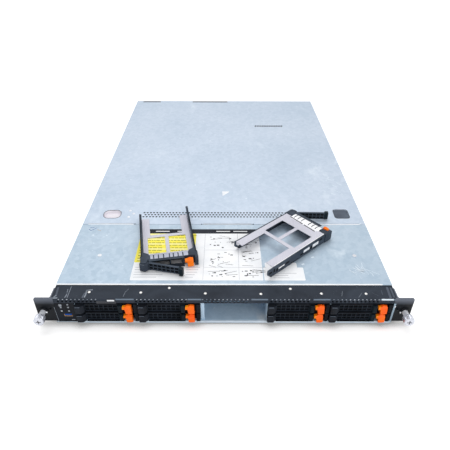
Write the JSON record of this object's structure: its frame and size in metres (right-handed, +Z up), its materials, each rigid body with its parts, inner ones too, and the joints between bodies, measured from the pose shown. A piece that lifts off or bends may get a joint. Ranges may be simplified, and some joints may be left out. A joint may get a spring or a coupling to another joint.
{
  "type": "one-unit rack server",
  "caption": "Flat one-unit rack server with sliding cover, hot-swap drive carriers, an open bay and two empty carriers laid on its lid.",
  "frame": {"origin": "centre of the lower face of the chassis floor", "axes": "+X to the right seen from the front, +Y to the rear, +Z up"},
  "size_m": [0.4826, 0.75, 0.0577],
  "materials": {
    "galvanised_steel": "satin zinc with light spangle",
    "black_steel": "satin black paint",
    "black_plastic": "matte moulded",
    "orange_plastic": "semi-gloss moulded",
    "tray_steel": "brushed sheet",
    "screw_metal": "bright plated",
    "circuit_board": "solder mask",
    "memory_board": "solder mask",
    "sink_aluminium": "extruded",
    "grey_plastic": "matte moulded",
    "clear_plastic": "light guide",
    "jack_metal": "plated"
  },
  "bodies": {
    "root": {"base_pan": "galvanised_steel", "front_frame": "black_steel", "front_cover": "galvanised_steel", "cover_screws": "screw_metal", "drive_cage": "galvanised_steel", "drive_backplane": "circuit_board", "left_ear": "black_steel", "right_ear": "black_steel", "operator_panel": "black_plastic", "panel_lights": "clear_plastic", "fan_wall": "black_plastic", "mainboard": "circuit_board", "heat_sinks": "sink_aluminium", "memory_modules": "memory_board", "riser_card": "circuit_board", "rear_ports": "jack_metal", "rail_studs": "screw_metal"},
    "carrier_1": {"carrier_1": "black_plastic"},
    "lever_1": {"lever_1": "black_plastic"},
    "latch_1": {"latch_1": "orange_plastic"},
    "carrier_2": {"carrier_2": "black_plastic"},
    "lever_2": {"lever_2": "black_plastic"},
    "latch_2": {"latch_2": "orange_plastic"},
    "carrier_3": {"carrier_3": "black_plastic"},
    "lever_3": {"lever_3": "black_plastic"},
    "latch_3": {"latch_3": "orange_plastic"},
    "carrier_4": {"carrier_4": "black_plastic"},
    "lever_4": {"lever_4": "black_plastic"},
    "latch_4": {"latch_4": "orange_plastic"},
    "carrier_5": {"carrier_5": "black_plastic"},
    "lever_5": {"lever_5": "black_plastic"},
    "latch_5": {"latch_5": "orange_plastic"},
    "carrier_6": {"carrier_6": "black_plastic"},
    "lever_6": {"lever_6": "black_plastic"},
    "latch_6": {"latch_6": "orange_plastic"},
    "carrier_7": {"carrier_7": "black_plastic"},
    "lever_7": {"lever_7": "black_plastic"},
    "latch_7": {"latch_7": "orange_plastic"},
    "carrier_8": {"carrier_8": "black_plastic"},
    "lever_8": {"lever_8": "black_plastic"},
    "latch_8": {"latch_8": "orange_plastic"},
    "left_loose_carrier": {"left_loose_carrier": "black_plastic"},
    "left_loose_lever": {"left_loose_lever": "black_plastic"},
    "left_loose_latch": {"left_loose_latch": "orange_plastic"},
    "right_loose_carrier": {"right_loose_carrier": "black_plastic"},
    "right_loose_lever": {"right_loose_lever": "black_plastic"},
    "right_loose_latch": {"right_loose_latch": "orange_plastic"},
    "rear_cover": {"rear_cover": "galvanised_steel"},
    "cover_release": {"cover_release": "grey_plastic"},
    "power_button": {"power_button": "clear_plastic"},
    "left_thumbscrew": {"left_thumbscrew": "screw_metal"},
    "right_thumbscrew": {"right_thumbscrew": "screw_metal"},
    "fan_rotor_1": {"fan_rotor_1": "black_plastic"},
    "fan_rotor_2": {"fan_rotor_2": "black_plastic"},
    "fan_rotor_3": {"fan_rotor_3": "black_plastic"},
    "fan_rotor_4": {"fan_rotor_4": "black_plastic"},
    "fan_rotor_5": {"fan_rotor_5": "black_plastic"},
    "fan_rotor_6": {"fan_rotor_6": "black_plastic"},
    "power_supply_1": {"power_supply_1": "galvanised_steel"},
    "power_supply_2": {"power_supply_2": "galvanised_steel"}
  },
  "joints": [
    {"name": "carrier_1_slide", "type": "slide", "parent": "root", "child": "carrier_1", "axis": [0, -1, 0], "range_m": [0, 0.13]},
    {"name": "lever_1_swing", "type": "hinge", "parent": "carrier_1", "child": "lever_1", "pos_m": [-0.1847, -0.3537, 0.0269], "axis": [0, 0, -1], "range_deg": [0, 50]},
    {"name": "latch_1_press", "type": "slide", "parent": "carrier_1", "child": "latch_1", "axis": [1, 0, 0], "range_m": [0, 0.002], "stiffness_N_per_m": 250},
    {"name": "carrier_2_slide", "type": "slide", "parent": "root", "child": "carrier_2", "axis": [0, -1, 0], "range_m": [0, 0.13]},
    {"name": "lever_2_swing", "type": "hinge", "parent": "carrier_2", "child": "lever_2", "pos_m": [-0.1045, -0.3537, 0.0269], "axis": [0, 0, -1], "range_deg": [0, 50]},
    {"name": "latch_2_press", "type": "slide", "parent": "carrier_2", "child": "latch_2", "axis": [1, 0, 0], "range_m": [0, 0.002], "stiffness_N_per_m": 250},
    {"name": "carrier_3_slide", "type": "slide", "parent": "root", "child": "carrier_3", "axis": [0, -1, 0], "range_m": [0, 0.13]},
    {"name": "lever_3_swing", "type": "hinge", "parent": "carrier_3", "child": "lever_3", "pos_m": [0.0613, -0.3537, 0.0269], "axis": [0, 0, -1], "range_deg": [0, 50]},
    {"name": "latch_3_press", "type": "slide", "parent": "carrier_3", "child": "latch_3", "axis": [1, 0, 0], "range_m": [0, 0.002], "stiffness_N_per_m": 250},
    {"name": "carrier_4_slide", "type": "slide", "parent": "root", "child": "carrier_4", "axis": [0, -1, 0], "range_m": [0, 0.13]},
    {"name": "lever_4_swing", "type": "hinge", "parent": "carrier_4", "child": "lever_4", "pos_m": [0.1415, -0.3537, 0.0269], "axis": [0, 0, -1], "range_deg": [0, 50]},
    {"name": "latch_4_press", "type": "slide", "parent": "carrier_4", "child": "latch_4", "axis": [1, 0, 0], "range_m": [0, 0.002], "stiffness_N_per_m": 250},
    {"name": "carrier_5_slide", "type": "slide", "parent": "root", "child": "carrier_5", "axis": [0, -1, 0], "range_m": [0, 0.13]},
    {"name": "lever_5_swing", "type": "hinge", "parent": "carrier_5", "child": "lever_5", "pos_m": [-0.1847, -0.3537, 0.0115], "axis": [0, 0, -1], "range_deg": [0, 50]},
    {"name": "latch_5_press", "type": "slide", "parent": "carrier_5", "child": "latch_5", "axis": [1, 0, 0], "range_m": [0, 0.002], "stiffness_N_per_m": 250},
    {"name": "carrier_6_slide", "type": "slide", "parent": "root", "child": "carrier_6", "axis": [0, -1, 0], "range_m": [0, 0.13]},
    {"name": "lever_6_swing", "type": "hinge", "parent": "carrier_6", "child": "lever_6", "pos_m": [-0.1045, -0.3537, 0.0115], "axis": [0, 0, -1], "range_deg": [0, 50]},
    {"name": "latch_6_press", "type": "slide", "parent": "carrier_6", "child": "latch_6", "axis": [1, 0, 0], "range_m": [0, 0.002], "stiffness_N_per_m": 250},
    {"name": "carrier_7_slide", "type": "slide", "parent": "root", "child": "carrier_7", "axis": [0, -1, 0], "range_m": [0, 0.13]},
    {"name": "lever_7_swing", "type": "hinge", "parent": "carrier_7", "child": "lever_7", "pos_m": [0.0613, -0.3537, 0.0115], "axis": [0, 0, -1], "range_deg": [0, 50]},
    {"name": "latch_7_press", "type": "slide", "parent": "carrier_7", "child": "latch_7", "axis": [1, 0, 0], "range_m": [0, 0.002], "stiffness_N_per_m": 250},
    {"name": "carrier_8_slide", "type": "slide", "parent": "root", "child": "carrier_8", "axis": [0, -1, 0], "range_m": [0, 0.13]},
    {"name": "lever_8_swing", "type": "hinge", "parent": "carrier_8", "child": "lever_8", "pos_m": [0.1415, -0.3537, 0.0115], "axis": [0, 0, -1], "range_deg": [0, 50]},
    {"name": "latch_8_press", "type": "slide", "parent": "carrier_8", "child": "latch_8", "axis": [1, 0, 0], "range_m": [0, 0.002], "stiffness_N_per_m": 250},
    {"name": "left_loose_carrier_lift", "type": "slide", "parent": "root", "child": "left_loose_carrier", "axis": [0, 0, 1], "range_m": [0, 0.08]},
    {"name": "left_loose_lever_swing", "type": "hinge", "parent": "left_loose_carrier", "child": "left_loose_lever", "pos_m": [-0.10767, -0.29862, 0.0505], "axis": [0, 0, -1], "range_deg": [-23, 27]},
    {"name": "left_loose_latch_press", "type": "slide", "parent": "left_loose_carrier", "child": "left_loose_latch", "axis": [0.9848, 0.1736, 0], "range_m": [0, 0.002], "stiffness_N_per_m": 250},
    {"name": "right_loose_carrier_lift", "type": "slide", "parent": "root", "child": "right_loose_carrier", "axis": [0, 0, 1], "range_m": [0, 0.08]},
    {"name": "right_loose_lever_swing", "type": "hinge", "parent": "right_loose_carrier", "child": "right_loose_lever", "pos_m": [0.10871, -0.17368, 0.0505], "axis": [0, 0, 1], "range_deg": [-46.7, 3.3]},
    {"name": "right_loose_latch_press", "type": "slide", "parent": "right_loose_carrier", "child": "right_loose_latch", "axis": [0.6691, -0.7431, 0], "range_m": [0, 0.002], "stiffness_N_per_m": 250},
    {"name": "rear_cover_slide", "type": "slide", "parent": "root", "child": "rear_cover", "axis": [0, 1, 0], "range_m": [0, 0.02]},
    {"name": "cover_release_press", "type": "slide", "parent": "rear_cover", "child": "cover_release", "axis": [0, 0, -1], "range_m": [0, 0.0015], "stiffness_N_per_m": 600},
    {"name": "power_button_press", "type": "slide", "parent": "root", "child": "power_button", "axis": [0, 1, 0], "range_m": [0, 0.001], "stiffness_N_per_m": 200},
    {"name": "left_thumbscrew_turn", "type": "hinge", "parent": "root", "child": "left_thumbscrew", "pos_m": [-0.23255, -0.3525, 0.0215], "axis": [0, 1, 0], "continuous": true},
    {"name": "right_thumbscrew_turn", "type": "hinge", "parent": "root", "child": "right_thumbscrew", "pos_m": [0.23255, -0.3525, 0.0215], "axis": [0, 1, 0], "continuous": true},
    {"name": "fan_rotor_1_spin", "type": "hinge", "parent": "root", "child": "fan_rotor_1", "pos_m": [-0.1725, -0.1105, 0.0202], "axis": [0, 1, 0], "continuous": true},
    {"name": "fan_rotor_2_spin", "type": "hinge", "parent": "root", "child": "fan_rotor_2", "pos_m": [-0.1035, -0.1105, 0.0202], "axis": [0, 1, 0], "continuous": true},
    {"name": "fan_rotor_3_spin", "type": "hinge", "parent": "root", "child": "fan_rotor_3", "pos_m": [-0.0345, -0.1105, 0.0202], "axis": [0, 1, 0], "continuous": true},
    {"name": "fan_rotor_4_spin", "type": "hinge", "parent": "root", "child": "fan_rotor_4", "pos_m": [0.0345, -0.1105, 0.0202], "axis": [0, 1, 0], "continuous": true},
    {"name": "fan_rotor_5_spin", "type": "hinge", "parent": "root", "child": "fan_rotor_5", "pos_m": [0.1035, -0.1105, 0.0202], "axis": [0, 1, 0], "continuous": true},
    {"name": "fan_rotor_6_spin", "type": "hinge", "parent": "root", "child": "fan_rotor_6", "pos_m": [0.1725, -0.1105, 0.0202], "axis": [0, 1, 0], "continuous": true},
    {"name": "power_supply_1_slide", "type": "slide", "parent": "root", "child": "power_supply_1", "axis": [0, 1, 0], "range_m": [0, 0.2]},
    {"name": "power_supply_2_slide", "type": "slide", "parent": "root", "child": "power_supply_2", "axis": [0, 1, 0], "range_m": [0, 0.2]}
  ]
}
